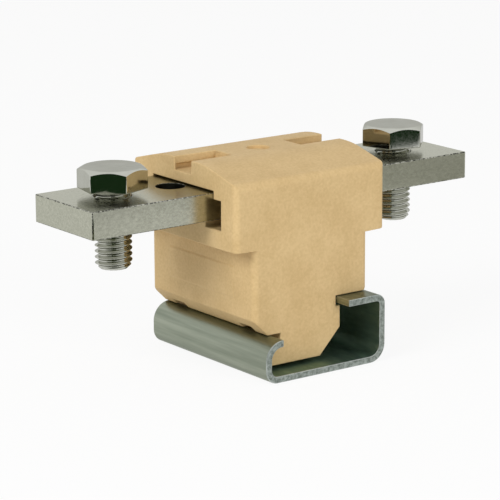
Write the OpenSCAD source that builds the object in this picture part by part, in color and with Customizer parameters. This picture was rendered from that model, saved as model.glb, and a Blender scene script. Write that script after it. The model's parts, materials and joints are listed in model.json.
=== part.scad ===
/* [Rail] */
// Overall width of the rail section
rail_width = 32; // [29:0.5:36]
// Height of the tall side of the rail
rail_tall = 15; // [13:0.5:18]
// Height of the low, rolled side of the rail
rail_low = 9.2; // [8.2:0.1:10]
// Sheet thickness of the rail
rail_sheet = 1.5; // [1:0.1:1.8]
// Length of the rail piece
rail_length = 42; // [40:1:120]
// How far the rail stands out in front of the housing
rail_overhang = 4.4; // [0:0.2:20]
// Inward reach of the lip on the tall side, with its wall
tall_lip = 9.9; // [8:0.1:12]
// Inward reach of the lip on the low side, with its wall
low_lip = 4.6; // [4.4:0.1:6]
// Outer radius of the bottom bend on the tall side
tall_bend = 4; // [2.5:0.1:5]
// Outer radius of the bottom bend on the low side
low_bend = 3; // [2.2:0.1:3.6]
// Outer radius of the bend into the low lip
low_lip_bend = 4.2; // [2:0.1:4.4]
// Outer radius of the bend into the tall lip
tall_lip_bend = 2.2; // [2:0.1:3]

/* [Housing] */
// Depth of the housing along the rail
housing_depth = 38; // [34:0.5:50]
// Width of the housing's head along the bar
head_width = 40; // [35:0.2:46]
// Width of the housing's base along the bar
base_width = 30.6; // [27:0.2:34]
// Height of the base's side above the tall lip
base_rise = 13.05; // [12.5:0.05:20]
// Height of the bar above the head's underside
bar_rise = 5.8; // [4:0.1:10]
// Wall over the bar at the eaves
eave_wall = 2.6; // [2:0.1:6]
// Rise of the roof from the eaves to the ridge
roof_rise = 2.9; // [2:0.1:5]
// Width of the ridge between the slopes, before it is rounded
ridge_width = 15.4; // [14:0.2:20]
// Radius where the ridge turns into the slopes
ridge_radius = 25; // [4:0.5:27]
// Radius of the eaves
eave_radius = 2; // [0.5:0.1:4]
// Radius of the upright edges
edge_radius = 1.5; // [0.5:0.1:3]
// Height and width of the chamfer on the low side
skirt_chamfer = 3.55; // [2:0.05:5]
// Chamfer under the tall side's shoulder
shoulder_chamfer = 0.8; // [0.3:0.1:1.5]

/* [Foot] */
// Clearance between the housing and the rail's lips
rail_fit = 0.1; // [0.05:0.05:0.3]
// How far the ledge lies over the low lip
ledge_overlap = 0.95; // [0.2:0.05:1.2]
// Room behind the tip of the low lip
hook_room = 2.4; // [1:0.1:3.5]
// Gap between the toe and the low wall
toe_gap = 0.9; // [0.4:0.1:2]
// Gap between the toe and the underside of the low lip
toe_play = 0.4; // [0.2:0.1:1]
// Gap between the foot and the rail's floor
foot_gap = 0.95; // [0.3:0.05:1.5]
// How far the nose snaps under the tall lip
nose_reach = 1; // [0.5:0.1:1.5]
// Gap between the nose and the underside of the tall lip
nose_play = 0.6; // [0.2:0.1:1]
// Height of the nose's upright face
nose_height = 4.8; // [3:0.1:6]
// Width of the slope that leads the nose in
lead_in = 5.4; // [3:0.1:7]
// Distance from the middle to each relief notch
notch_start = 10.2; // [8:0.1:12]
// Width of each relief notch
notch_width = 4.4; // [3:0.1:6]
// Height of each relief notch
notch_height = 1.2; // [0.5:0.1:2]

/* [Recesses] */
// Width of the marker grooves in the ridge
marker_width = 6.2; // [4:0.1:8]
// Length of each marker groove
marker_length = 10.8; // [6:0.1:12]
// Depth of the marker grooves
marker_depth = 2.9; // [1:0.1:3.4]
// Diameter of the shallow round dimple in the ridge
dimple_d = 5; // [3:0.1:6]
// Depth of the dimple
dimple_depth = 0.7; // [0.2:0.05:1.2]
// Width of the raised panel on each base side
panel_width = 24; // [20:0.2:30]
// Height of the raised panels
panel_height = 7.2; // [5:0.1:7.6]
// Distance from the head's underside to the panels
panel_drop = 4.4; // [2:0.1:5]
// How far the panels stand out
panel_raise = 0.15; // [0.1:0.05:0.6]
// Reach of each side pocket beyond the bar's edge
pocket_beside = 2.7; // [1.5:0.1:4]
// Reach of each side pocket under the bar's edge
pocket_under = 2.8; // [1.5:0.1:4]
// Depth of each side pocket below the bar
pocket_below = 1.7; // [1:0.1:3]
// Distance from the bar's top down to the pockets' top
pocket_top_drop = 1.4; // [0.5:0.1:3]
// Length of each side pocket along the bar
pocket_length = 12; // [6:0.5:16]

/* [Current bar] */
// Length of the bar
bar_length = 100; // [90:1:130]
// Width of the bar
bar_width = 22; // [18:0.5:25]
// Thickness of the bar
bar_thickness = 6; // [4:0.5:10]
// Radius of the bar's upright corners
bar_corner = 0.4; // [0.2:0.1:2]
// Gap between the bar's edges and the housing
bar_side_fit = 0.1; // [0.05:0.05:0.3]
// Gap between the bar's top and the housing
bar_top_fit = 0.35; // [0.1:0.05:0.6]
// Distance from each end of the bar to its bolt
bolt_inset = 12.2; // [9:0.1:14]
// Diameter of the plain holes beside the housing
link_hole_d = 6.2; // [4:0.1:6.6]
// Gap between the housing and the edge of each plain hole
link_gap = 0.1; // [0.1:0.1:1]

/* [Bolts] */
// Nominal thread diameter of the clamping bolts
bolt_d = 8; // [6:0.5:8.5]
// Radial clearance between a bolt and its hole
bolt_fit = 0.05; // [0.02:0.01:0.1]
// Width across the flats of the bolt head
head_flats = 13; // [12:0.5:14]
// Height of the bolt head
head_height = 4.7; // [3.5:0.1:6]
// Length of the bolt under its head
bolt_length = 17; // [14:0.5:25]
// Chamfer at the end of the bolt
bolt_chamfer = 0.8; // [0.4:0.1:1.2]
// Gap left between a bolt head and the bar
clamp_gap = 1.55; // [0.5:0.05:5]
// Turn of the left bolt head
left_turn = 19; // [0:1:60]
// Turn of the right bolt head
right_turn = 45; // [0:1:60]

/* [Fixing screw] */
// Nominal thread diameter of the screw that holds the bar
screw_d = 4; // [3:0.5:4.5]
// How far the screw stands out under the bar
screw_reach = 2.3; // [2:0.1:4]
// Radial clearance between the screw and the bar
screw_fit = 0.05; // [0.02:0.01:0.1]
// Distance from the bar's top down to the screw's end
screw_drop = 0.3; // [0.1:0.1:1]
// Radial room round the screw in its well
well_room = 0.5; // [0.3:0.1:1]
// Width of the driving slot
slot_width = 0.8; // [0.5:0.1:1]
// Depth of the driving slot
slot_depth = 1.4; // [0.8:0.1:2]

/* [Hidden] */
$fn = 96;
over = 1;
chamfer_circle = 0.95;
chamfer_slope = 30;
toe_share = 0.6;
housing_colour = "#D0B483";
plated_colour = "#B2B3AE";
bolt_colour = "#C3C4C0";
rail_colour = "#94968A";

base_half = base_width / 2;
head_half = head_width / 2;
depth_half = housing_depth / 2;
bar_half = bar_width / 2;

ledge_x = -base_half + skirt_chamfer;
low_tip_x = ledge_x + ledge_overlap;
rail_left = low_tip_x - low_lip;
rail_right = rail_left + rail_width;
tall_tip_x = rail_right - tall_lip;
rail_front = -depth_half - rail_overhang;

shoulder_z = rail_tall + rail_fit;
ledge_z = rail_low + rail_fit;
foot_z = rail_sheet + foot_gap;
toe_top_z = rail_low - rail_sheet - toe_play;
toe_x = rail_left + rail_sheet + toe_gap;
toe_chamfer = toe_share * (low_lip_bend - rail_sheet);
hook_x = low_tip_x + hook_room;
neck_x = tall_tip_x - rail_fit;
nose_x = neck_x + rail_fit + nose_reach;
nose_top_z = rail_tall - rail_sheet - nose_play;
nose_low_z = nose_top_z - nose_height;

step_z = shoulder_z + base_rise;
bar_z = step_z + bar_rise;
bar_top_z = bar_z + bar_thickness;
eave_z = bar_top_z + eave_wall;
ridge_z = eave_z + roof_rise;
ridge_half = ridge_width / 2;
roof_slope = atan2(roof_rise, depth_half - ridge_half);
ridge_tangent = ridge_radius * tan(roof_slope / 2);
eave_tangent = eave_radius / tan(45 + roof_slope / 2);

bolt_x = bar_length / 2 - bolt_inset;
link_x = head_half + link_gap + link_hole_d / 2;
head_z = bar_top_z + clamp_gap;
shank_r = bolt_d / 2 - bolt_fit;
head_r = head_flats / 2 / cos(30);
screw_r = screw_d / 2 - screw_fit;
screw_z = bar_z - screw_reach;
screw_length = screw_reach + bar_thickness - screw_drop;
well_r = screw_d / 2 + well_room;

// A quarter of a bent sheet, round the point [x, z], turned by whole quarters
module sheet_bend(x, z, outer, quarter) {
    translate([x, z])
        rotate(90 * quarter)
            difference() {
                intersection() {
                    circle(r = outer);
                    square(outer);
                }
                circle(r = outer - rail_sheet);
            }
}

// A flat stretch of sheet between two corners
module sheet_flat(x0, z0, x1, z1) {
    translate([x0, z0])
        square([x1 - x0, z1 - z0]);
}

// Cross-section of the rail, seen along its length
module rail_section() {
    sheet_flat(rail_left + low_bend, 0, rail_right - tall_bend, rail_sheet);
    sheet_bend(rail_left + low_bend, low_bend, low_bend, 2);
    sheet_flat(rail_left, low_bend, rail_left + rail_sheet, rail_low - low_lip_bend);
    sheet_bend(rail_left + low_lip_bend, rail_low - low_lip_bend, low_lip_bend, 1);
    sheet_flat(rail_left + low_lip_bend, rail_low - rail_sheet, low_tip_x, rail_low);
    sheet_bend(rail_right - tall_bend, tall_bend, tall_bend, 3);
    sheet_flat(rail_right - rail_sheet, tall_bend, rail_right, rail_tall - tall_lip_bend);
    sheet_bend(rail_right - tall_lip_bend, rail_tall - tall_lip_bend, tall_lip_bend, 0);
    sheet_flat(tall_tip_x, rail_tall - rail_sheet, rail_right - tall_lip_bend, rail_tall);
}

// Stands a section drawn in X and Z upright and runs it along Y from a start
module along_rail(start, length) {
    translate([0, start + length, 0])
        rotate([90, 0, 0])
            linear_extrude(length)
                children();
}

module mounting_rail() {
    color(rail_colour)
        along_rail(rail_front, rail_length)
            rail_section();
}

// A rectangle about the origin with round corners
module round_rectangle(width, depth, radius) {
    square([width - 2 * radius, depth], center = true);
    square([width, depth - 2 * radius], center = true);
    for (x = [-1, 1], y = [-1, 1])
        translate([x * (width / 2 - radius), y * (depth / 2 - radius)])
            circle(r = radius);
}

// Base and foot of the housing, seen along the rail
module foot_section() {
    polygon([
        [-base_half, step_z + over],
        [-base_half, ledge_z + skirt_chamfer],
        [ledge_x, ledge_z],
        [hook_x, ledge_z],
        [hook_x, toe_top_z],
        [toe_x + toe_chamfer, toe_top_z],
        [toe_x, toe_top_z - toe_chamfer],
        [toe_x, foot_z],
        [nose_x - lead_in, foot_z],
        [nose_x, nose_low_z],
        [nose_x, nose_top_z],
        [neck_x, nose_top_z],
        [neck_x, shoulder_z],
        [base_half - shoulder_chamfer, shoulder_z],
        [base_half, shoulder_z + shoulder_chamfer],
        [base_half, step_z + over]
    ]);
}

// Head of the housing, seen along the bar, with a soft ridge and round eaves
module roof_section() {
    slope_low = [depth_half - eave_tangent * cos(roof_slope), eave_z + eave_tangent * sin(roof_slope)];
    slope_top = [ridge_half + ridge_tangent * cos(roof_slope), ridge_z - ridge_tangent * sin(roof_slope)];
    polygon([
        [-depth_half, step_z],
        [depth_half, step_z],
        [depth_half, eave_z - eave_tangent],
        slope_low,
        slope_top,
        [ridge_half - ridge_tangent, ridge_z],
        [-ridge_half + ridge_tangent, ridge_z],
        [-slope_top.x, slope_top.y],
        [-slope_low.x, slope_low.y],
        [-depth_half, eave_z - eave_tangent]
    ]);
    for (side = [-1, 1])
        translate([side * (depth_half - eave_radius), eave_z - eave_tangent])
            circle(r = eave_radius);
    intersection() {
        translate([-depth_half, step_z])
            square([housing_depth, ridge_z - step_z]);
        for (side = [-1, 1])
            translate([side * (ridge_half - ridge_tangent), ridge_z - ridge_radius])
                circle(r = ridge_radius);
    }
}

module head_block() {
    intersection() {
        translate([0, 0, step_z])
            linear_extrude(ridge_z - step_z)
                round_rectangle(head_width, housing_depth, edge_radius);
        rotate([90, 0, 90])
            translate([0, 0, -head_half])
                linear_extrude(head_width)
                    roof_section();
    }
}

module base_block() {
    intersection() {
        translate([0, 0, foot_z])
            linear_extrude(step_z + over - foot_z)
                round_rectangle(base_width, housing_depth, edge_radius);
        along_rail(-depth_half, housing_depth)
            foot_section();
    }
}

// A pocket beside the bar's edge at one end of the housing
module side_pocket(end, side) {
    pocket_height = bar_thickness + pocket_below - pocket_top_drop;
    mirror([end < 0 ? 1 : 0, 0, 0])
        mirror([0, side < 0 ? 1 : 0, 0])
            translate([head_half - pocket_length, bar_half - pocket_under, bar_z - pocket_below])
                cube([pocket_length + over, pocket_under + pocket_beside, pocket_height]);
}

// A groove for a marker tag, open at one end of the ridge
module marker_groove(end) {
    mirror([end < 0 ? 1 : 0, 0, 0])
        translate([head_half - marker_length, -marker_width / 2, ridge_z - marker_depth])
            cube([marker_length + over, marker_width, marker_depth + over]);
}

// A panel that stands out a little on one side of the base
module side_panel(end) {
    mirror([end < 0 ? 1 : 0, 0, 0])
        translate([base_half - over, -panel_width / 2, step_z - panel_drop - panel_height])
            cube([panel_raise + over, panel_width, panel_height]);
}

// A notch that frees part of the ledge over the low lip
module relief_notch(side) {
    mirror([0, side < 0 ? 1 : 0, 0])
        translate([-base_half, notch_start, ledge_z - over])
            cube([base_half + hook_x, notch_width, notch_height + over]);
}

module bar_passage() {
    translate([-head_half - over, -bar_half - bar_side_fit, bar_z])
        cube([head_width + 2 * over, bar_width + 2 * bar_side_fit, bar_thickness + bar_top_fit]);
}

module housing() {
    color(housing_colour)
        difference() {
            union() {
                head_block();
                base_block();
                for (end = [-1, 1])
                    side_panel(end);
            }
            bar_passage();
            translate([0, 0, foot_z - over])
                cylinder(r = well_r, h = bar_z - foot_z + 2 * over);
            translate([0, 0, ridge_z - dimple_depth])
                cylinder(d = dimple_d, h = dimple_depth + over);
            for (end = [-1, 1]) {
                marker_groove(end);
                relief_notch(end);
                for (side = [-1, 1])
                    side_pocket(end, side);
            }
        }
}

// An upright hole right through the bar
module bar_hole(x, diameter) {
    translate([x, 0, bar_z - over])
        cylinder(d = diameter, h = bar_thickness + 2 * over);
}

module current_bar() {
    color(plated_colour)
        difference() {
            translate([0, 0, bar_z])
                linear_extrude(bar_thickness)
                    round_rectangle(bar_length, bar_width, bar_corner);
            bar_hole(0, screw_d);
            for (end = [-1, 1]) {
                bar_hole(end * bolt_x, bolt_d);
                bar_hole(end * link_x, link_hole_d);
            }
        }
}

module bar_fixing_screw() {
    color(bolt_colour)
        translate([0, 0, screw_z])
            difference() {
                cylinder(r = screw_r, h = screw_length);
                translate([-screw_r - over, -slot_width / 2, -over])
                    cube([2 * (screw_r + over), slot_width, slot_depth + over]);
            }
}

// Hexagon head with its corners turned down on top, standing on Z = 0
module hex_head() {
    top_r = head_flats / 2 * chamfer_circle;
    corner_drop = (head_r - top_r) * tan(chamfer_slope);
    intersection() {
        cylinder(r = head_r, h = head_height, $fn = 6);
        union() {
            cylinder(r = head_r + over, h = head_height - corner_drop);
            translate([0, 0, head_height - corner_drop])
                cylinder(r1 = head_r, r2 = top_r, h = corner_drop);
        }
    }
}

// Clamping bolt, placed at rest over its hole in the bar
module clamping_bolt(x, turn) {
    color(bolt_colour)
        translate([x, 0, head_z]) {
            rotate(turn)
                hex_head();
            translate([0, 0, bolt_chamfer - bolt_length])
                cylinder(r = shank_r, h = bolt_length - bolt_chamfer);
            translate([0, 0, -bolt_length])
                cylinder(r1 = shank_r - bolt_chamfer, r2 = shank_r, h = bolt_chamfer);
        }
}

module left_bolt() {
    clamping_bolt(-bolt_x, left_turn);
}

module right_bolt() {
    clamping_bolt(bolt_x, right_turn);
}

mounting_rail();
housing();
current_bar();
bar_fixing_screw();
left_bolt();
right_bolt();
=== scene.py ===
"""Looks of a feed-through terminal block that is clipped on a short piece of rail.

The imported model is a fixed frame. It gives every piece its place, and the classes here dress the
pieces: moulded housing, plated current bar, clamping bolts with their threads, fixing screw and
rail.
"""

import json
import logging
import math
from collections.abc import Sequence
from dataclasses import dataclass
from enum import Enum

import bmesh
import bpy
from mathutils import Matrix, Vector


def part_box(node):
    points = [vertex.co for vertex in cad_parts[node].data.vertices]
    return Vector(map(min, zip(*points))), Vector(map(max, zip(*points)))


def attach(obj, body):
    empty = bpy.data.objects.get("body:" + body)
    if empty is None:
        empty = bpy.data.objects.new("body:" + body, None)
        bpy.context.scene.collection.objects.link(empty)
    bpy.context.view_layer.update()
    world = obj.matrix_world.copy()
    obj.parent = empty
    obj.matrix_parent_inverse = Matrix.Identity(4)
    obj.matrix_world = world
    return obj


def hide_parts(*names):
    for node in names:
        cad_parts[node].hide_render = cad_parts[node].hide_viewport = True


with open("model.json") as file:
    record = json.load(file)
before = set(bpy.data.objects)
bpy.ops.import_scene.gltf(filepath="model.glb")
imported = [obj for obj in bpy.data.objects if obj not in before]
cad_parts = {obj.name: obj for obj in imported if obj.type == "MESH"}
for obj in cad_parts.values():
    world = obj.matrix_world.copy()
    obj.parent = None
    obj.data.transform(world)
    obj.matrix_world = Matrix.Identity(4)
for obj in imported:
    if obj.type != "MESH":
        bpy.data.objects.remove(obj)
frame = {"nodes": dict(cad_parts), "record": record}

LOG = logging.getLogger("terminal_block")
MM = 0.001
# Points closer than the first are one point. The second closes the slivers that cuts leave.
WELD_M = 1e-6
SLIVER_M = 1e-5
ALONG_X = Vector((1, 0, 0))
ALONG_Y = Vector((0, 1, 0))
ALONG_Z = Vector((0, 0, 1))
# A face is square to an axis where its normal has more than this along the axis.
SQUARE_ON = 0.99
# Digits to which the normals of faces are compared.
NORMAL_DIGITS = 3
HEX_SIDES = 6
HEX_DEG = 360 / HEX_SIDES
WHITE = (1.0, 1.0, 1.0, 1.0)
# Middle of the values that a noise pattern gives.
NOISE_MIDDLE = 0.5
# Sockets of the mix node that take the first and the second colour and give the mixed one.
MIX_FIRST, MIX_SECOND, MIX_RESULT = 6, 7, 2


class Body(Enum):
    """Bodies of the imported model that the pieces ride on."""

    BLOCK = "block"
    LEFT_CLAMP = "left_clamp"
    RIGHT_CLAMP = "right_clamp"


class Slot(Enum):
    """Material slots of the record for the pieces."""

    RAIL = "zinc_plated_rail"
    HOUSING = "moulded_housing"
    BAR = "plated_bar"
    BOLT = "plated_bolt"


def linear(colour: str) -> tuple[float, float, float, float]:
    """Turn an sRGB hex colour into linear light.

    Args:
        colour: Hex colour such as "#D0B483".

    Returns:
        Linear red, green, blue and an alpha of 1.
    """
    parts = [int(colour[i:i + 2], 16) / 255 for i in (1, 3, 5)]
    red, green, blue = (p / 12.92 if p <= 0.04045 else ((p + 0.055) / 1.055) ** 2.4 for p in parts)
    return red, green, blue, 1.0


def per_mm(size_mm: float) -> float:
    """Scale at which a pattern on coordinates in metres repeats about every size_mm."""
    return 1.0 / (size_mm * MM)


def add_node(
    tree: bpy.types.NodeTree,
    kind: str,
    inputs: dict[str | int, object] | None = None,
    **settings: object,
) -> bpy.types.Node:
    """Add a node to a tree, with its settings, values and links.

    Args:
        tree: Tree that takes the node.
        kind: Blender's name for the kind of node.
        inputs: Value, or output socket to link, for each named or numbered input.
        settings: Attributes of the node itself.

    Returns:
        The new node.
    """
    node = tree.nodes.new(kind)
    for name, value in settings.items():
        setattr(node, name, value)
    for name, value in (inputs or {}).items():
        if isinstance(value, bpy.types.NodeSocket):
            tree.links.new(value, node.inputs[name])
        else:
            node.inputs[name].default_value = value
    return node


def bare_material(name: str) -> bpy.types.Material:
    """Make a material with an empty node tree."""
    material = bpy.data.materials.new(name)
    material.use_nodes = True
    material.node_tree.nodes.clear()
    return material


@dataclass(frozen=True)
class Finish:
    """What every finish has: a name, a light and a dark tone of its colour, and a gloss."""

    name: str
    colour: str
    shade: str
    roughness: float

    def start(
        self, metallic: float
    ) -> tuple[bpy.types.Material, bpy.types.NodeTree, bpy.types.Node]:
        """Make an empty material with its shader.

        Args:
            metallic: 1 for bare or plated metal, 0 for plastic.

        Returns:
            The material, its tree and its shader node.
        """
        material = bare_material(self.name)
        tree = material.node_tree
        shader = add_node(
            tree,
            "ShaderNodeBsdfPrincipled",
            {"Base Color": linear(self.colour), "Metallic": metallic, "Roughness": self.roughness},
        )
        add_node(tree, "ShaderNodeOutputMaterial", {"Surface": shader.outputs["BSDF"]})
        return material, tree, shader

    def tint(
        self, shader: bpy.types.Node, pattern: bpy.types.NodeSocket, middle: float, span: float
    ) -> None:
        """Let a pattern lead the colour from the dark tone to the light one.

        Args:
            shader: Shader that takes the colour.
            pattern: Pattern that leads it.
            middle: Value of the pattern that gives the tone half-way.
            span: Range of values between the two tones.
        """
        tree = shader.id_data
        share = add_node(
            tree,
            "ShaderNodeMapRange",
            {"Value": pattern, "From Min": middle - span / 2, "From Max": middle + span / 2},
        )
        tone = add_node(
            tree,
            "ShaderNodeMix",
            {
                "Factor": share.outputs["Result"],
                MIX_FIRST: linear(self.shade),
                MIX_SECOND: linear(self.colour),
            },
            data_type="RGBA",
        )
        tree.links.new(tone.outputs[MIX_RESULT], shader.inputs["Base Color"])


@dataclass(frozen=True)
class MouldedPlastic(Finish):
    """Moulded plastic with the grain of its tool and faint cloudy flow marks."""

    flow_mm: float = 7.0
    grain_mm: float = 0.55
    grain_height_mm: float = 0.012
    flow_detail: float = 3.0
    grain_detail: float = 2.0
    tint_span: float = 0.6
    specular: float = 0.22

    def material(self) -> bpy.types.Material:
        """Build the material."""
        material, tree, shader = self.start(metallic=0.0)
        place = add_node(tree, "ShaderNodeTexCoord").outputs["Object"]
        flow = add_node(
            tree,
            "ShaderNodeTexNoise",
            {"Vector": place, "Scale": per_mm(self.flow_mm), "Detail": self.flow_detail},
        )
        grain = add_node(
            tree,
            "ShaderNodeTexNoise",
            {"Vector": place, "Scale": per_mm(self.grain_mm), "Detail": self.grain_detail},
        )
        speck = add_node(
            tree,
            "ShaderNodeMath",
            {0: flow.outputs["Fac"], 1: grain.outputs["Fac"]},
            operation="ADD",
        )
        self.tint(shader, speck.outputs["Value"], 2 * NOISE_MIDDLE, self.tint_span)
        bump = add_node(
            tree,
            "ShaderNodeBump",
            {
                "Height": grain.outputs["Fac"],
                "Distance": self.grain_height_mm * MM,
                "Strength": 1.0,
            },
        )
        tree.links.new(bump.outputs["Normal"], shader.inputs["Normal"])
        shader.inputs["Specular IOR Level"].default_value = self.specular
        return material


@dataclass(frozen=True)
class WorkedMetal(Finish):
    """Metal that keeps the fine lines of the way it was worked, under a thin plating or bare.

    The lines spread the gloss along one direction. The tint changes over larger patches or streaks.
    """

    line_mm: tuple[float, float, float]
    line_height_mm: float
    tint_mm: tuple[float, float, float]
    gloss_range: float
    tint_span: float = 0.4
    gloss_span: float = 0.4
    rim_colour: str = "#DBDBD8"
    detail: float = 4.0
    fineness: float = 0.6

    def material(self) -> bpy.types.Material:
        """Build the material."""
        material, tree, shader = self.start(metallic=1.0)
        shader.inputs["Specular Tint"].default_value = linear(self.rim_colour)
        place = add_node(tree, "ShaderNodeTexCoord").outputs["Object"]
        patterns = []
        for sizes in (self.line_mm, self.tint_mm):
            stretched = add_node(
                tree,
                "ShaderNodeMapping",
                {"Vector": place, "Scale": [per_mm(size) for size in sizes]},
            )
            pattern = add_node(
                tree,
                "ShaderNodeTexNoise",
                {
                    "Vector": stretched.outputs["Vector"],
                    "Scale": 1.0,
                    "Detail": self.detail,
                    "Roughness": self.fineness,
                },
            )
            patterns.append(pattern.outputs["Fac"])
        lines, patches = patterns
        self.tint(shader, patches, NOISE_MIDDLE, self.tint_span)
        gloss = add_node(
            tree,
            "ShaderNodeMapRange",
            {
                "Value": lines,
                "From Min": NOISE_MIDDLE - self.gloss_span / 2,
                "From Max": NOISE_MIDDLE + self.gloss_span / 2,
                "To Min": self.roughness - self.gloss_range / 2,
                "To Max": self.roughness + self.gloss_range / 2,
            },
        )
        bump = add_node(
            tree,
            "ShaderNodeBump",
            {"Height": lines, "Distance": self.line_height_mm * MM, "Strength": 1.0},
        )
        tree.links.new(gloss.outputs["Result"], shader.inputs["Roughness"])
        tree.links.new(bump.outputs["Normal"], shader.inputs["Normal"])
        return material


# Filled polyamide, injection moulded in a spark-eroded tool. The eroded skin scatters light, so the
# surface is matt with a fine even grain. The grain is drawn coarser than the real 0.1 mm, so that
# it shows.
MOULDED_POLYAMIDE = MouldedPlastic("polyamide_moulded_matt", "#DBBE8C", "#CCAE7C", 0.6)

# Copper bar, cut from rolled flat, tumbled and nickel plated. Tumbling leaves a fine, nearly even
# grain, and the plating over it is a soft, slightly greenish mirror. The grain is drawn coarser
# than the real one, so that it shows.
NICKEL_PLATED_BAR = WorkedMetal(
    "nickel_plated_copper_tumbled",
    "#BABBAC",
    "#A4A596",
    0.22,
    line_mm=(0.45, 0.28, 0.28),
    line_height_mm=0.0035,
    tint_mm=(0.7, 0.4, 0.4),
    gloss_range=0.10,
    rim_colour="#E4E4E0",
)

# Sheared edge of the bar under the plating. Its burrs and dents are bumps, and the near-black
# specks in its colour are painted dark reflection, which breaks the mirror into bright and dark
# specks.
EDGE_BURRS_AND_PAINTED_SPECKS = WorkedMetal(
    "nickel_plated_copper_sheared_edge",
    "#BDBDB1",
    "#1E1F1A",
    0.30,
    line_mm=(0.35, 0.35, 0.35),
    line_height_mm=0.03,
    tint_mm=(0.4, 0.4, 0.4),
    gloss_range=0.10,
    tint_span=0.2,
)

# Walls of a drilled hole, with the marks of the drill. Their dark colour is painted shade deep in
# the hole, and they are dull.
HOLE_PAINTED_SHADE = WorkedMetal(
    "drilled_hole_painted_shade",
    "#3C3D36",
    "#24251F",
    0.45,
    line_mm=(4.0, 4.0, 0.5),
    line_height_mm=0.03,
    tint_mm=(1.5, 1.5, 1.5),
    gloss_range=0.10,
)

# Cold-headed steel with a bright plating. The die leaves it smooth, so it mirrors the studio almost
# clearly.
BRIGHT_PLATED_STEEL = WorkedMetal(
    "nickel_plated_steel_bright",
    "#C3C4BC",
    "#B8B9B0",
    0.08,
    line_mm=(0.6, 0.6, 0.6),
    line_height_mm=0.001,
    tint_mm=(3.0, 3.0, 3.0),
    gloss_range=0.05,
    rim_colour="#C8C8C4",
)

# Steel strip, zinc plated and roll-formed. The rolls leave long streaks, and the passivation a
# grey-green cast.
ZINC_PLATED_STRIP = WorkedMetal(
    "zinc_plated_steel_rolled",
    "#A2A898",
    "#7C8475",
    0.36,
    line_mm=(0.25, 12.0, 0.25),
    line_height_mm=0.003,
    tint_mm=(2.2, 45.0, 2.2),
    gloss_range=0.12,
)

# Inside of the rolled section, duller than the outside. Its green tint is painted reflection of the
# dark green surroundings that the channel mirrors.
ZINC_INSIDE_PAINTED_REFLECTION = WorkedMetal(
    "zinc_plated_steel_passivated_dull",
    "#92AC9A",
    "#6E8A7A",
    0.52,
    line_mm=(0.6, 6.0, 0.6),
    line_height_mm=0.004,
    tint_mm=(2.0, 9.0, 2.0),
    gloss_range=0.12,
)

# Sheared end of the strip. The blade tears the steel, so the cut is rough and lined across the
# sheet, in darker and paler spots.
SHEARED_STEEL = WorkedMetal(
    "steel_sheared",
    "#A3ABA5",
    "#6E756E",
    0.40,
    line_mm=(0.3, 1.0, 0.3),
    line_height_mm=0.02,
    tint_mm=(0.9, 0.9, 0.9),
    gloss_range=0.16,
    tint_span=0.25,
)

# Rim of the sheared end. The blade presses it smooth, so it is a thin bright line.
PRESSED_RIM = WorkedMetal(
    "steel_pressed_rim",
    "#B7BEB9",
    "#959C97",
    0.30,
    line_mm=(0.4, 0.4, 0.4),
    line_height_mm=0.004,
    tint_mm=(1.5, 1.5, 1.5),
    gloss_range=0.10,
)

# Finishes of the pieces that have more than one. A face carries its finish by number in the row.
BAR_FINISHES = (NICKEL_PLATED_BAR, EDGE_BURRS_AND_PAINTED_SPECKS, HOLE_PAINTED_SHADE)
RAIL_FINISHES = (ZINC_PLATED_STRIP, SHEARED_STEEL, PRESSED_RIM, ZINC_INSIDE_PAINTED_REFLECTION)


def show(mesh: bpy.types.Mesh, name: str) -> bpy.types.Object:
    """Put a mesh in the scene as an object at the origin."""
    piece = bpy.data.objects.new(name, mesh)
    bpy.context.scene.collection.objects.link(piece)
    return piece


def made_plain(piece: bpy.types.Object) -> bpy.types.Object:
    """Turn the result of a piece's modifiers into its own plain mesh.

    Args:
        piece: Object with modifiers.

    Returns:
        The same object with the evaluated mesh and no modifiers.
    """
    graph = bpy.context.evaluated_depsgraph_get()
    mesh = bpy.data.meshes.new_from_object(piece.evaluated_get(graph), depsgraph=graph)
    piece.modifiers.clear()
    piece.data = mesh
    mesh.name = piece.name
    return piece


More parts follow.
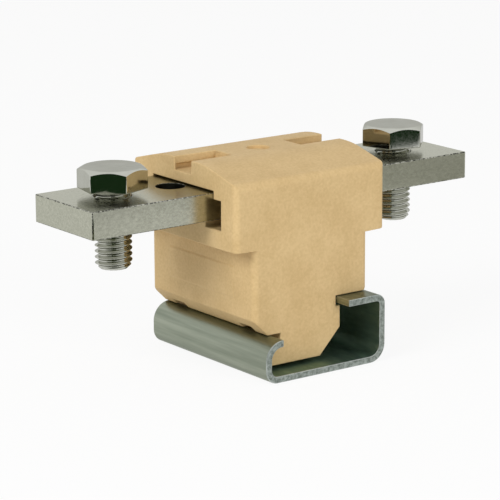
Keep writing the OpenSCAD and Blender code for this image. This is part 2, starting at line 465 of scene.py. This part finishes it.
@dataclass(frozen=True)
class EdgeBreak:
    """How the outer edges of a piece are rounded.

    An edge with a face too narrow for the full width gets the part of that face's width that fits.
    A low step becomes a slope, because a rounding can't show on it. Inner edges, and edges that run
    into a cusp, stay sharp.
    """

    width_mm: float
    segments: int = 2
    angle_deg: float = 30.0
    narrow_share: float = 0.4
    step_mm: float = 0.3
    step_run: float = 3.0
    cusp_deg: float = 30.0
    flat_weight: int = 100
    finish_slot: int = -1

    def is_sharp(self, edge: bmesh.types.BMEdge) -> bool:
        """Tell whether the faces at an edge turn enough for the edge to show."""
        return edge.calc_face_angle(0.0) > math.radians(self.angle_deg)

    def is_free(self, edge: bmesh.types.BMEdge) -> bool:
        """Tell whether an edge stands out and keeps clear of cusps in the faces beside it."""
        corners = [corner for loop in edge.link_loops for corner in (loop, loop.link_loop_next)]
        sharpest = min(corner.calc_angle() for corner in corners)
        return edge.is_convex and sharpest > math.radians(self.cusp_deg)

    def ease_steps(self, soup: bmesh.types.BMesh) -> None:
        """Draw in the outer edge of each low step, so that its narrow face becomes a slope."""
        moves: dict[bmesh.types.BMVert, dict[tuple[float, ...], float]] = {}
        for edge in filter(self.is_sharp, soup.edges):
            for face in edge.link_faces if edge.is_convex else ():
                height = face.calc_area() / edge.calc_length()
                if height > self.step_mm * MM:
                    continue
                for vertex in edge.verts:
                    moves.setdefault(vertex, {})[face.normal.to_tuple(NORMAL_DIGITS)] = height
                for side in face.edges:
                    side.smooth = False
        for vertex, heights in moves.items():
            for normal, height in heights.items():
                vertex.co -= Vector(normal) * height * self.step_run
        soup.normal_update()

    def mark(self, piece: bpy.types.Object) -> None:
        """Write how much of the rounding each outer edge gets, and keep the other edges sharp."""
        soup = bmesh.new()
        soup.from_mesh(piece.data)
        self.ease_steps(soup)
        weight = soup.edges.layers.float.new("bevel_weight_edge")
        for edge in filter(self.is_sharp, soup.edges):
            if self.is_free(edge):
                least = min(face.calc_area() for face in edge.link_faces)
                narrowest_mm = least / edge.calc_length() / MM
                edge[weight] = min(1.0, narrowest_mm * self.narrow_share / self.width_mm)
            else:
                edge.smooth = False
        soup.to_mesh(piece.data)
        soup.free()

    def soften(self, piece: bpy.types.Object) -> None:
        """Round the outer edges of a piece and keep its flat faces flat.

        Args:
            piece: Object with a closed mesh.
        """
        piece.data.shade_smooth()
        self.mark(piece)
        bevel = piece.modifiers.new("edges", "BEVEL")
        bevel.width = self.width_mm * MM
        bevel.segments = self.segments
        bevel.limit_method = "WEIGHT"
        bevel.use_clamp_overlap = False
        bevel.miter_outer = "MITER_ARC"
        bevel.material = self.finish_slot
        normals = piece.modifiers.new("normals", "WEIGHTED_NORMAL")
        normals.weight = self.flat_weight
        normals.keep_sharp = True
        made_plain(piece)


def join_flat(soup: bmesh.types.BMesh, flat_deg: float = 0.4) -> None:
    """Make one polygon of the faces that turn by less than flat_deg, up to the seams."""
    bmesh.ops.dissolve_limit(
        soup,
        angle_limit=math.radians(flat_deg),
        verts=soup.verts,
        edges=soup.edges,
        delimit={"SEAM"},
    )


def merged_copy(
    node: str, name: str, cuts: Sequence[tuple[Vector, float]] = ()
) -> bpy.types.Object:
    """Copy a solid of the frame as a closed mesh with one polygon for each flat face.

    Args:
        node: Name of the solid.
        name: Name of the new piece.
        cuts: Planes that divide the faces with a hole, by direction and distance from the origin.

    Returns:
        The new object.
    """
    source = frame["nodes"][node].data
    mesh = bpy.data.meshes.new(name)
    faces = [list(face.vertices) for face in source.polygons]
    mesh.from_pydata([vertex.co for vertex in source.vertices], [], faces)
    soup = bmesh.new()
    soup.from_mesh(mesh)
    bmesh.ops.remove_doubles(soup, verts=soup.verts, dist=WELD_M)
    for direction, distance in cuts:
        parts = [*soup.verts, *soup.edges, *soup.faces]
        cut = bmesh.ops.bisect_plane(
            soup, geom=parts, dist=WELD_M, plane_co=direction * distance, plane_no=direction
        )
        for part in cut["geom_cut"]:
            if isinstance(part, bmesh.types.BMEdge):
                part.seam = True
    bmesh.ops.remove_doubles(soup, verts=soup.verts, dist=SLIVER_M)
    join_flat(soup)
    soup.to_mesh(mesh)
    soup.free()
    return show(mesh, name)


def divided(
    soup: bmesh.types.BMesh, face: bmesh.types.BMFace, direction: Vector, distance: float
) -> list[bmesh.types.BMFace]:
    """Divide one face by a plane.

    Args:
        soup: Mesh that holds the face.
        face: Face to divide.
        direction: Direction across the plane.
        distance: Distance of the plane from the origin.

    Returns:
        The faces that it gives.
    """
    parts = [face, *face.edges, *face.verts]
    place = direction * distance
    cut = bmesh.ops.bisect_plane(soup, geom=parts, plane_co=place, plane_no=direction)
    return [part for part in cut["geom"] if isinstance(part, bmesh.types.BMFace)]


def dress(piece: bpy.types.Object, *finishes: Finish) -> None:
    """Give a piece its finishes, the first one for all of its faces."""
    piece.data.materials.clear()
    for finish in finishes:
        piece.data.materials.append(finish.material())


def seat(piece: bpy.types.Object, body: Body, slot: Slot, *nodes: str) -> None:
    """Let a piece ride on its body and stand for its solids."""
    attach(piece, body.value)
    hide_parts(*nodes)
    LOG.info("%s rides on %s with %d faces", piece.name, body.value, len(piece.data.polygons))


@dataclass
class Housing:
    """Moulded body with the bar passage, the marker grooves and the snap foot."""

    node: str = "housing"
    groove_mm: float = 2.9
    slot_mm: float = 1.15
    slot_depth_mm: float = 0.8
    slot_skin_mm: float = 0.6
    edges: EdgeBreak = EdgeBreak(width_mm=0.25, segments=3)

    def is_groove_wall(self, face: bmesh.types.BMFace, high: Vector) -> bool:
        """Tell whether a face is a side wall of a marker groove.

        Args:
            face: Face of the housing before its edges are rounded.
            high: Upper corner of the box round the housing.

        Returns:
            True for a wall that faces the middle plane of the housing from the side of a groove.
        """
        place = face.calc_center_median()
        in_groove = place.z > high.z - self.groove_mm * MM and abs(place.x) > high.x / 2
        return in_groove and abs(face.normal.y) > SQUARE_ON and face.normal.y * place.y < 0

    def sink_marker_slots(self, piece: bpy.types.Object, high: Vector) -> None:
        """Sink a slot for the marker's clip in the foot of each side wall of the marker grooves.

        Args:
            piece: The housing before its edges are rounded.
            high: Upper corner of the box round the housing.
        """
        soup = bmesh.new()
        soup.from_mesh(piece.data)
        middle = bmesh.types.BMFace.calc_center_median
        for wall in [face for face in soup.faces if self.is_groove_wall(face, high)]:
            inwards = wall.normal * -self.slot_depth_mm * MM
            top = min(vertex.co.z for vertex in wall.verts) + self.slot_mm * MM
            end = math.copysign(high.x - self.slot_skin_mm * MM, middle(wall).x)
            strip = min(divided(soup, wall, ALONG_Z, top), key=lambda face: middle(face).z)
            slot = min(divided(soup, strip, ALONG_X, end), key=lambda face: abs(middle(face).x))
            sunk = bmesh.ops.extrude_face_region(soup, geom=[slot])["geom"]
            corners = [part for part in sunk if isinstance(part, bmesh.types.BMVert)]
            bmesh.ops.translate(soup, verts=corners, vec=inwards)
            bmesh.ops.delete(soup, geom=[slot], context="FACES_ONLY")
        join_flat(soup)
        soup.to_mesh(piece.data)
        soup.free()

    def build(self) -> None:
        """Build and dress the housing."""
        piece = merged_copy(self.node, "moulded_housing", [(ALONG_X, 0.0), (ALONG_Y, 0.0)])
        dress(piece, MOULDED_POLYAMIDE)
        _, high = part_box(self.node)
        self.sink_marker_slots(piece, high)
        self.edges.soften(piece)
        seat(piece, Body.BLOCK, Slot.HOUSING, self.node)


@dataclass
class CurrentBar:
    """Flat bar through the head of the housing."""

    node: str = "current_bar"
    # The rounded edges take the finish whose near-black specks are painted dark reflection.
    edges: EdgeBreak = EdgeBreak(
        width_mm=0.2, segments=2, finish_slot=BAR_FINISHES.index(EDGE_BURRS_AND_PAINTED_SPECKS)
    )
    bolts: tuple[str, ...] = ("left_bolt", "bar_fixing_screw", "right_bolt")
    hole_mounts: tuple[str, ...] = ("left_link_hole", "right_link_hole")
    hole_play_mm: float = 0.1
    corner_mm: float = 0.6
    corner_turn: float = 0.45

    def mark_corners(self, piece: bpy.types.Object) -> None:
        """Give the upright corners at both ends of the bar the finish of its edges, whose
        near-black specks paint a thin dotted line of dark reflection down each corner.
        """
        _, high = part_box(self.node)
        for face in piece.data.polygons:
            turn = min(abs(face.normal.x), abs(face.normal.y))
            if turn > self.corner_turn and high.x - abs(face.center.x) < self.corner_mm * MM:
                face.material_index = self.edges.finish_slot

    def link_holes(self) -> list[dict[str, object]]:
        """Mounts of the record that are link holes in the bar."""
        mounts = frame["record"]["mounts"]
        return [mount for mount in mounts if mount["name"] in self.hole_mounts]

    def mark_holes(self, piece: bpy.types.Object) -> None:
        """Give the walls of the link holes their own finish, dark with painted shade."""
        for mount in self.link_holes():
            reach = (mount["dims"]["r_mm"] + self.hole_play_mm) * MM
            for face in piece.data.polygons:
                off = Vector(face.center[:2]) - Vector(mount["pos_m"][:2])
                if off.length < reach:
                    # The hole walls take the dark finish that paints the shade in the holes.
                    face.material_index = BAR_FINISHES.index(HOLE_PAINTED_SHADE)

    def build(self) -> None:
        """Build and dress the bar."""
        places = [sum(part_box(node), Vector()) / 2 for node in self.bolts]
        places += [mount["pos_m"] for mount in self.link_holes()]
        cuts = [(ALONG_X, place[0]) for place in places]
        piece = merged_copy(self.node, "plated_bar", cuts)
        dress(piece, *BAR_FINISHES)
        self.edges.soften(piece)
        self.mark_corners(piece)
        self.mark_holes(piece)
        seat(piece, Body.BLOCK, Slot.BAR, self.node)


@dataclass
class Rail:
    """Roll-formed rail with sheared ends."""

    node: str = "mounting_rail"
    sheet_mm: float = 1.5
    edges: EdgeBreak = EdgeBreak(
        width_mm=0.18, segments=2, finish_slot=RAIL_FINISHES.index(PRESSED_RIM)
    )

    def is_inside(self, face: bpy.types.MeshPolygon) -> bool:
        """Tell whether a face lies inside the channel, where the edges of the lips don't count."""
        low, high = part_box(self.node)
        to_middle = (low + high) / 2 - face.center
        inner_x = high.x - 2 * self.sheet_mm * MM
        is_lip = abs(face.normal.x) > SQUARE_ON and abs(face.center.x) < inner_x
        return face.normal.dot(to_middle) > 0 and not is_lip

    def build(self) -> None:
        """Build and dress the rail, with finishes of their own for its ends and rims, and for its
        inside, where a green tint paints its reflection.
        """
        piece = merged_copy(self.node, "rolled_rail")
        dress(piece, *RAIL_FINISHES)
        for face in piece.data.polygons:
            if abs(face.normal.y) > SQUARE_ON:
                face.material_index = RAIL_FINISHES.index(SHEARED_STEEL)
            elif self.is_inside(face):
                # The inside takes a green tint, painted reflection of the dark green that it
                # mirrors.
                face.material_index = RAIL_FINISHES.index(ZINC_INSIDE_PAINTED_REFLECTION)
        self.edges.soften(piece)
        seat(piece, Body.BLOCK, Slot.RAIL, self.node)


@dataclass
class Thread:
    """Rolled screw thread, cut back to a cone at its lower end.

    The depth is a share of the pitch. The root is flat below its share of the wave from root to
    crest, and the crest above its own.
    """

    radius_mm: float
    pitch_mm: float
    length_mm: float
    chamfer_mm: float
    columns: int = 64
    rows_per_turn: int = 16
    depth_share: float = 0.6
    root_share: float = 0.2
    crest_share: float = 0.9
    spare_turns: int = 4

    def steps(self) -> tuple[tuple[str | float, ...], ...]:
        """Sums that wind the grid into the thread, each with its name, operation and parts.

        The grid runs once round and up all turns. Spare turns below the end and above the top are
        drawn in to the axis and close the thread there.

        Returns:
            The sums in order.
        """
        return (
            ("around", "ADD", "X", 0.5),
            ("angle", "MULTIPLY", "around", 2 * math.pi),
            ("up", "ADD", "Y", 0.5),
            ("turn", "MULTIPLY", "up", "Turns"),
            ("wound", "ADD", "turn", "around"),
            ("risen", "SUBTRACT", "wound", self.spare_turns / 2 + 1),
            ("height", "MULTIPLY", "risen", "Pitch"),
            ("capped", "MINIMUM", "height", "Length"),
            ("level", "MAXIMUM", "capped", 0.0),
            ("doubled", "MULTIPLY", "turn", 2.0),
            ("wave", "PINGPONG", "doubled", 1.0),
            ("lifted", "SUBTRACT", "wave", self.root_share),
            ("flank", "DIVIDE", "lifted", self.crest_share - self.root_share),
            ("bare", "SUBTRACT", 1.0, "flank"),
            ("not_below", "MAXIMUM", "bare", 0.0),
            ("cut", "MINIMUM", "not_below", 1.0),
            ("cut_in", "MULTIPLY", "cut", "Depth"),
            ("screw", "SUBTRACT", "Radius", "cut_in"),
            ("tip", "SUBTRACT", "Radius", "Chamfer"),
            ("cone", "ADD", "tip", "level"),
            ("outline", "MINIMUM", "screw", "cone"),
            ("from_end", "ADD", "risen", 1.0),
            ("below", "MAXIMUM", "from_end", 0.0),
            ("near_end", "MINIMUM", "below", 1.0),
            ("left_over", "SUBTRACT", "Length", "height"),
            ("turns_over", "DIVIDE", "left_over", "Pitch"),
            ("from_top", "ADD", "turns_over", 1.0),
            ("above", "MAXIMUM", "from_top", 0.0),
            ("near_top", "MINIMUM", "above", 1.0),
            ("closing", "MULTIPLY", "near_end", "near_top"),
            ("radius", "MULTIPLY", "outline", "closing"),
            ("cosine", "COSINE", "angle"),
            ("sine", "SINE", "angle"),
            ("x", "MULTIPLY", "radius", "cosine"),
            ("y", "MULTIPLY", "radius", "sine"),
        )

    def tree(self) -> bpy.types.NodeTree:
        """Build the node tree that winds a grid into a closed thread, standing on Z = 0.

        Returns:
            The tree, with the sizes of the thread as named inputs.
        """
        tree = bpy.data.node_groups.new("screw_thread", "GeometryNodeTree")
        add_socket = tree.interface.new_socket
        for name in ("Radius", "Pitch", "Length", "Chamfer", "Depth"):
            add_socket(name=name, in_out="INPUT", socket_type="NodeSocketFloat")
        for name in ("Turns", "Rows"):
            add_socket(name=name, in_out="INPUT", socket_type="NodeSocketInt")
        add_socket(name="Material", in_out="INPUT", socket_type="NodeSocketMaterial")
        add_socket(name="Geometry", in_out="OUTPUT", socket_type="NodeSocketGeometry")
        given = add_node(tree, "NodeGroupInput").outputs
        grid = add_node(
            tree,
            "GeometryNodeMeshGrid",
            {
                "Size X": 1.0,
                "Size Y": 1.0,
                "Vertices X": self.columns + 1,
                "Vertices Y": given["Rows"],
            },
        )
        position = add_node(tree, "GeometryNodeInputPosition").outputs["Position"]
        place = add_node(tree, "ShaderNodeSeparateXYZ", {"Vector": position})
        values = {socket.name: socket for socket in (*given, *place.outputs)}
        for name, operation, *parts in self.steps():
            inputs = {number: values.get(part, part) for number, part in enumerate(parts)}
            step = add_node(tree, "ShaderNodeMath", inputs, operation=operation)
            values[name] = step.outputs["Value"]
        wound = add_node(
            tree, "ShaderNodeCombineXYZ", {"X": values["x"], "Y": values["y"], "Z": values["level"]}
        )
        moved = add_node(
            tree,
            "GeometryNodeSetPosition",
            {"Geometry": grid.outputs["Mesh"], "Position": wound.outputs["Vector"]},
        )
        welded = add_node(
            tree,
            "GeometryNodeMergeByDistance",
            {"Geometry": moved.outputs["Geometry"], "Distance": WELD_M},
        )
        smooth = add_node(
            tree, "GeometryNodeSetShadeSmooth", {"Geometry": welded.outputs["Geometry"]}
        )
        real = add_node(
            tree, "GeometryNodeRealizeInstances", {"Geometry": smooth.outputs["Geometry"]}
        )
        dressed = add_node(
            tree,
            "GeometryNodeSetMaterial",
            {"Geometry": real.outputs["Geometry"], "Material": given["Material"]},
        )
        add_node(tree, "NodeGroupOutput", {"Geometry": dressed.outputs["Geometry"]})
        return tree

    def build(self, name: str, material: bpy.types.Material) -> bpy.types.Object:
        """Make the thread as a plain mesh that stands on Z = 0.

        Args:
            name: Name of the object.
            material: Finish of the thread.

        Returns:
            The new object.
        """
        tree = self.tree()
        turns = math.ceil(self.length_mm / self.pitch_mm) + self.spare_turns
        values = {
            "Radius": self.radius_mm * MM,
            "Pitch": self.pitch_mm * MM,
            "Length": self.length_mm * MM,
            "Chamfer": self.chamfer_mm * MM,
            "Depth": self.pitch_mm * self.depth_share * MM,
            "Turns": turns,
            "Rows": turns * self.rows_per_turn + 1,
            "Material": material,
        }
        piece = show(bpy.data.meshes.new(name), name)
        modifier = piece.modifiers.new("thread", "NODES")
        modifier.node_group = tree
        for socket in tree.interface.items_tree:
            if socket.in_out == "INPUT":
                modifier[socket.identifier] = values[socket.name]
        return made_plain(piece)


@dataclass
class ClampingBolt:
    """Hexagon bolt that clamps a cable lug on the bar."""

    node: str
    name: str
    body: Body
    turn_deg: float
    flats_mm: float = 13.0
    head_mm: float = 4.7
    chamfer_circle: float = 0.95
    chamfer_deg: float = 30.0
    columns_per_flat: int = 12
    edges: EdgeBreak = EdgeBreak(width_mm=0.2, segments=3, angle_deg=20.0)
    thread_radius_mm: float = 3.95
    pitch_mm: float = 1.25
    point_mm: float = 1.0
    sunk_mm: float = 0.4

    def rings(self, angle_deg: float) -> list[tuple[float, float]]:
        """Radius and height in mm of the head's rings, going up, at an angle from one corner."""
        half = self.flats_mm / 2
        off = (angle_deg + HEX_DEG / 2) % HEX_DEG - HEX_DEG / 2
        reach = half / math.cos(math.radians(HEX_DEG / 2 - abs(off)))
        top = half * self.chamfer_circle
        shoulder = self.head_mm - (reach - top) * math.tan(math.radians(self.chamfer_deg))
        return [(reach, 0.0), (reach, shoulder), (top, self.head_mm)]

    def head(self) -> bpy.types.Object:
        """Make the head, standing on Z = 0.

        Returns:
            A closed piece with sharp edges.
        """
        soup = bmesh.new()
        columns = []
        for step in range(HEX_SIDES * self.columns_per_flat):
            angle = HEX_DEG * step / self.columns_per_flat
            turned = math.radians(angle + self.turn_deg)
            points = [(r * math.cos(turned), r * math.sin(turned), z) for r, z in self.rings(angle)]
            columns.append([soup.verts.new([part * MM for part in point]) for point in points])
        for here, there in zip(columns, columns[1:] + columns[:1]):
            for low, high in zip(range(len(here) - 1), range(1, len(here))):
                soup.faces.new((here[low], there[low], there[high], here[high]))
        soup.faces.new([column[0] for column in reversed(columns)])
        soup.faces.new([column[-1] for column in columns])
        mesh = bpy.data.meshes.new(self.name)
        soup.to_mesh(mesh)
        soup.free()
        return show(mesh, self.name)

    def build(self) -> None:
        """Build and dress the bolt."""
        low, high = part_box(self.node)
        seat_z = high.z - self.head_mm * MM
        axis = Vector(((low.x + high.x) / 2, (low.y + high.y) / 2, 0))
        piece = self.head()
        dress(piece, BRIGHT_PLATED_STEEL)
        self.edges.soften(piece)
        piece.data.transform(Matrix.Translation(axis + Vector((0, 0, seat_z))))
        length = (seat_z - low.z) / MM + self.sunk_mm
        thread = Thread(self.thread_radius_mm, self.pitch_mm, length, self.point_mm)
        shank = thread.build(self.name + "_thread", piece.data.materials[0])
        shank.data.transform(Matrix.Translation(axis + Vector((0, 0, low.z))))
        both = [piece, shank]
        with bpy.context.temp_override(active_object=piece, selected_editable_objects=both):
            bpy.ops.object.join()
        seat(piece, self.body, Slot.BOLT, self.node)


@dataclass
class FixingScrew:
    """Slotted screw that keeps the bar in the housing."""

    node: str = "bar_fixing_screw"
    edges: EdgeBreak = EdgeBreak(width_mm=0.12)

    def build(self) -> None:
        """Build and dress the screw."""
        piece = merged_copy(self.node, "slotted_screw")
        dress(piece, BRIGHT_PLATED_STEEL)
        self.edges.soften(piece)
        seat(piece, Body.BLOCK, Slot.BOLT, self.node)


def bearing(azimuth_deg: float, elevation_deg: float) -> Vector:
    """Direction from the block to a place, at azimuth 0 towards -Y and at 90 towards +X."""
    turn = math.radians(azimuth_deg)
    lift = math.radians(elevation_deg)
    level = math.cos(lift)
    return Vector((math.sin(turn) * level, -math.cos(turn) * level, math.sin(lift)))


@dataclass(frozen=True)
class Viewpoint:
    """Where the camera stands, as read from the photograph."""

    azimuth_deg: float = -36.395
    elevation_deg: float = 13.814
    roll_deg: float = -0.289
    distance_mm: float = 553.79
    lens_mm: float = 183.18
    aim_height_mm: float = 30.35
    aim_right_mm: float = -1.869
    aim_up_mm: float = -7.591
    clip_mm: float = 10.0

    def build(self) -> None:
        """Make the camera and use it for the scene."""
        back = bearing(self.azimuth_deg, self.elevation_deg)
        right = bearing(self.azimuth_deg + 90, 0)
        up = back.cross(right)
        aim = Vector((0, 0, self.aim_height_mm)) + right * self.aim_right_mm + up * self.aim_up_mm
        data = bpy.data.cameras.new("photo_view")
        data.lens = self.lens_mm
        data.clip_start = self.clip_mm * MM
        camera = bpy.data.objects.new("photo_view", data)
        axes = Matrix((right, up, back)).transposed()
        roll = Matrix.Rotation(math.radians(self.roll_deg), 3, "Z")
        place = (aim + back * self.distance_mm) * MM
        camera.matrix_world = Matrix.Translation(place) @ (axes @ roll).to_4x4()
        bpy.context.scene.collection.objects.link(camera)
        bpy.context.scene.camera = camera


@dataclass(frozen=True)
class SoftLamp:
    """Square softbox that faces the block."""

    name: str
    azimuth_deg: float
    elevation_deg: float
    watts: float
    size_mm: float = 500.0
    distance_mm: float = 900.0
    aim_height_mm: float = 25.0

    def build(self) -> None:
        """Hang the lamp."""
        data = bpy.data.lights.new(self.name, "AREA")
        data.size = self.size_mm * MM
        data.energy = self.watts
        lamp = bpy.data.objects.new(self.name, data)
        lamp.visible_glossy = False
        towards = bearing(self.azimuth_deg, self.elevation_deg)
        place = (Vector((0, 0, self.aim_height_mm)) + towards * self.distance_mm) * MM
        facing = towards.to_track_quat("Z", "Y").to_matrix().to_4x4()
        lamp.matrix_world = Matrix.Translation(place) @ facing
        bpy.context.scene.collection.objects.link(lamp)


def sheet(name: str, corners: list[Vector]) -> bpy.types.Object:
    """Make a flat sheet of the studio from its corners in mm."""
    mesh = bpy.data.meshes.new(name)
    mesh.from_pydata([corner * MM for corner in corners], [], [range(len(corners))])
    piece = show(mesh, name)
    return piece


@dataclass(frozen=True)
class MirrorCard:
    """Card in front of the block that only the bright metal shows.

    It lies on the floor, from near to far as seen from the block towards the camera and from left
    to right as the camera sees it, and may turn up at its far edge.
    """

    name: str
    colour: str
    near_mm: float
    far_mm: float
    left_mm: float
    right_mm: float
    upright_mm: float = 0.0
    lift_mm: float = 1.0

    def build(self, view: Viewpoint) -> None:
        """Lay the card in front of the camera's view of the block."""
        towards = bearing(view.azimuth_deg, 0)
        across = bearing(view.azimuth_deg + 90, 0)
        material = bare_material(self.name)
        tree = material.node_tree
        paper = add_node(tree, "ShaderNodeBsdfDiffuse", {"Color": linear(self.colour)})
        add_node(tree, "ShaderNodeOutputMaterial", {"Surface": paper.outputs["BSDF"]})
        low = Vector((0, 0, self.lift_mm))
        top = Vector((0, 0, self.upright_mm))
        left, right = across * self.left_mm, across * self.right_mm
        near, far = low + towards * self.near_mm, low + towards * self.far_mm
        sheets = [[near + left, far + left, far + right, near + right]]
        if self.upright_mm:
            sheets.append([far + left, far + right, far + right + top, far + left + top])
        for number, corners in enumerate(sheets):
            card = sheet(f"{self.name}_{number}", corners)
            card.data.materials.append(material)
            card.visible_camera = False
            card.visible_diffuse = False
            card.visible_shadow = False
            card.visible_transmission = False


@dataclass(frozen=True)
class Studio:
    """White floor and sky, soft lamps, and cards that the bright metal mirrors."""

    sky_level: float = 0.45
    floor_colour: str = "#F4F4F2"
    floor_white: float = 0.9
    floor_reach_mm: float = 4000.0
    floor_drop_mm: float = 0.02
    lamps: tuple[SoftLamp, ...] = (
        SoftLamp("left_softbox", azimuth_deg=-80, elevation_deg=35, watts=4.4),
        SoftLamp("front_softbox", azimuth_deg=10, elevation_deg=20, watts=2.4, size_mm=350),
    )
    cards: tuple[MirrorCard, ...] = (
        MirrorCard(
            "black_card",
            "#1F331D",
            near_mm=115,
            far_mm=1100,
            left_mm=-260,
            right_mm=420,
            upright_mm=330,
        ),
        MirrorCard("grey_card", "#B6B6AC", near_mm=-40, far_mm=90, left_mm=150, right_mm=330),
        MirrorCard("olive_card", "#84886C", near_mm=55, far_mm=115, left_mm=-95, right_mm=45),
    )

    def seen_white(self, tree: bpy.types.NodeTree) -> bpy.types.NodeSocket:
        """Add a switch that is 1 for rays that show the background, straight or mirrored."""
        path = add_node(tree, "ShaderNodeLightPath").outputs
        mirrored = add_node(
            tree,
            "ShaderNodeMath",
            {0: path["Is Glossy Ray"], 1: path["Is Transmission Ray"]},
            operation="MAXIMUM",
        )
        return add_node(
            tree,
            "ShaderNodeMath",
            {0: path["Is Camera Ray"], 1: mirrored.outputs["Value"]},
            operation="MAXIMUM",
        ).outputs["Value"]

    def sky(self) -> None:
        """Make the world: white where it is seen, and softer as a light."""
        world = bpy.data.worlds.new("studio_sky")
        world.use_nodes = True
        tree = world.node_tree
        tree.nodes.clear()
        level = add_node(
            tree,
            "ShaderNodeMapRange",
            {"Value": self.seen_white(tree), "To Min": self.sky_level, "To Max": 1.0},
        )
        light = add_node(
            tree,
            "ShaderNodeBackground",
            {"Color": WHITE, "Strength": level.outputs["Result"]},
        )
        add_node(tree, "ShaderNodeOutputWorld", {"Surface": light.outputs["Background"]})
        bpy.context.scene.world = world

    def floor(self) -> None:
        """Lay the pale floor, which keeps a soft shadow."""
        reach, drop = self.floor_reach_mm, -self.floor_drop_mm
        signs = ((-1, -1), (1, -1), (1, 1), (-1, 1))
        piece = sheet("floor", [Vector((x * reach, y * reach, drop)) for x, y in signs])
        material = bare_material("pale_paper_floor")
        tree = material.node_tree
        paper = add_node(tree, "ShaderNodeBsdfDiffuse", {"Color": linear(self.floor_colour)})
        white = add_node(tree, "ShaderNodeEmission", {"Color": WHITE, "Strength": 1.0})
        share = add_node(
            tree,
            "ShaderNodeMath",
            {0: self.seen_white(tree), 1: self.floor_white},
            operation="MULTIPLY",
        )
        both = add_node(
            tree,
            "ShaderNodeMixShader",
            {0: share.outputs["Value"], 1: paper.outputs["BSDF"], 2: white.outputs["Emission"]},
        )
        add_node(tree, "ShaderNodeOutputMaterial", {"Surface": both.outputs["Shader"]})
        piece.data.materials.append(material)

    def build(self, view: Viewpoint) -> None:
        """Build the studio."""
        self.sky()
        self.floor()
        for card in self.cards:
            card.build(view)
        for lamp in self.lamps:
            lamp.build()
        bpy.context.scene.view_settings.view_transform = "Standard"


def main() -> None:
    """Build the pieces in order."""
    logging.basicConfig(level=logging.INFO, format="%(name)s: %(message)s")
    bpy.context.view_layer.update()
    Housing().build()
    CurrentBar().build()
    FixingScrew().build()
    ClampingBolt("left_bolt", "left_clamping_bolt", Body.LEFT_CLAMP, turn_deg=19).build()
    ClampingBolt("right_bolt", "right_clamping_bolt", Body.RIGHT_CLAMP, turn_deg=45).build()
    Rail().build()
    view = Viewpoint()
    view.build()
    Studio().build(view)


if __name__ == "__main__":
    main()
